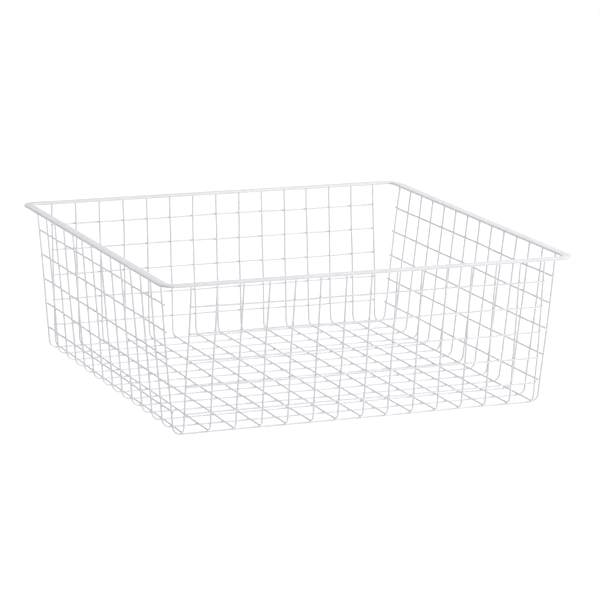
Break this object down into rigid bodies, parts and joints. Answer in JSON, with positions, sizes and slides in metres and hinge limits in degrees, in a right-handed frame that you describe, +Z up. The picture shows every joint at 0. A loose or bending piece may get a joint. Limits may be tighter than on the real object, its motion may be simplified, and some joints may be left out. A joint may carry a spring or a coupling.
{
  "type": "wire produce basket",
  "caption": "Open-topped welded wire basket with flared mesh walls and a flat rounded rim it can hang by on drawer runners; holds fruit, vegetables or household goods.",
  "frame": {"origin": "centre of the floor area under the basket, at the height of the surface it stands on", "axes": "+Z up out of the open top, +X along the long side of the rim, +Y from the front wall to the back wall"},
  "size_m": [0.557, 0.545, 0.1958],
  "materials": {
    "white_coating": "satin white epoxy powder coat over welded steel wire"
  },
  "bodies": {
    "root": {"rim": "white_coating", "front_back_wire_01": "white_coating", "front_back_wire_02": "white_coating", "front_back_wire_03": "white_coating", "front_back_wire_04": "white_coating", "front_back_wire_05": "white_coating", "front_back_wire_06": "white_coating", "front_back_wire_07": "white_coating", "front_back_wire_08": "white_coating", "front_back_wire_09": "white_coating", "front_back_wire_10": "white_coating", "front_back_wire_11": "white_coating", "front_back_wire_12": "white_coating", "front_back_wire_13": "white_coating", "front_back_wire_14": "white_coating", "front_back_wire_15": "white_coating", "side_side_wire_01": "white_coating", "side_side_wire_02": "white_coating", "side_side_wire_03": "white_coating", "side_side_wire_04": "white_coating", "side_side_wire_05": "white_coating", "side_side_wire_06": "white_coating", "side_side_wire_07": "white_coating", "side_side_wire_08": "white_coating", "side_side_wire_09": "white_coating", "side_side_wire_10": "white_coating", "side_side_wire_11": "white_coating", "side_side_wire_12": "white_coating", "side_side_wire_13": "white_coating", "side_side_wire_14": "white_coating", "front_wall_wire_1": "white_coating", "front_wall_wire_2": "white_coating", "front_wall_wire_3": "white_coating", "front_wall_wire_4": "white_coating", "front_wall_wire_5": "white_coating", "back_wall_wire_1": "white_coating", "back_wall_wire_2": "white_coating", "back_wall_wire_3": "white_coating", "back_wall_wire_4": "white_coating", "back_wall_wire_5": "white_coating", "left_wall_wire_1": "white_coating", "left_wall_wire_2": "white_coating", "left_wall_wire_3": "white_coating", "left_wall_wire_4": "white_coating", "left_wall_wire_5": "white_coating", "right_wall_wire_1": "white_coating", "right_wall_wire_2": "white_coating", "right_wall_wire_3": "white_coating", "right_wall_wire_4": "white_coating", "right_wall_wire_5": "white_coating"}
  },
  "joints": []
}
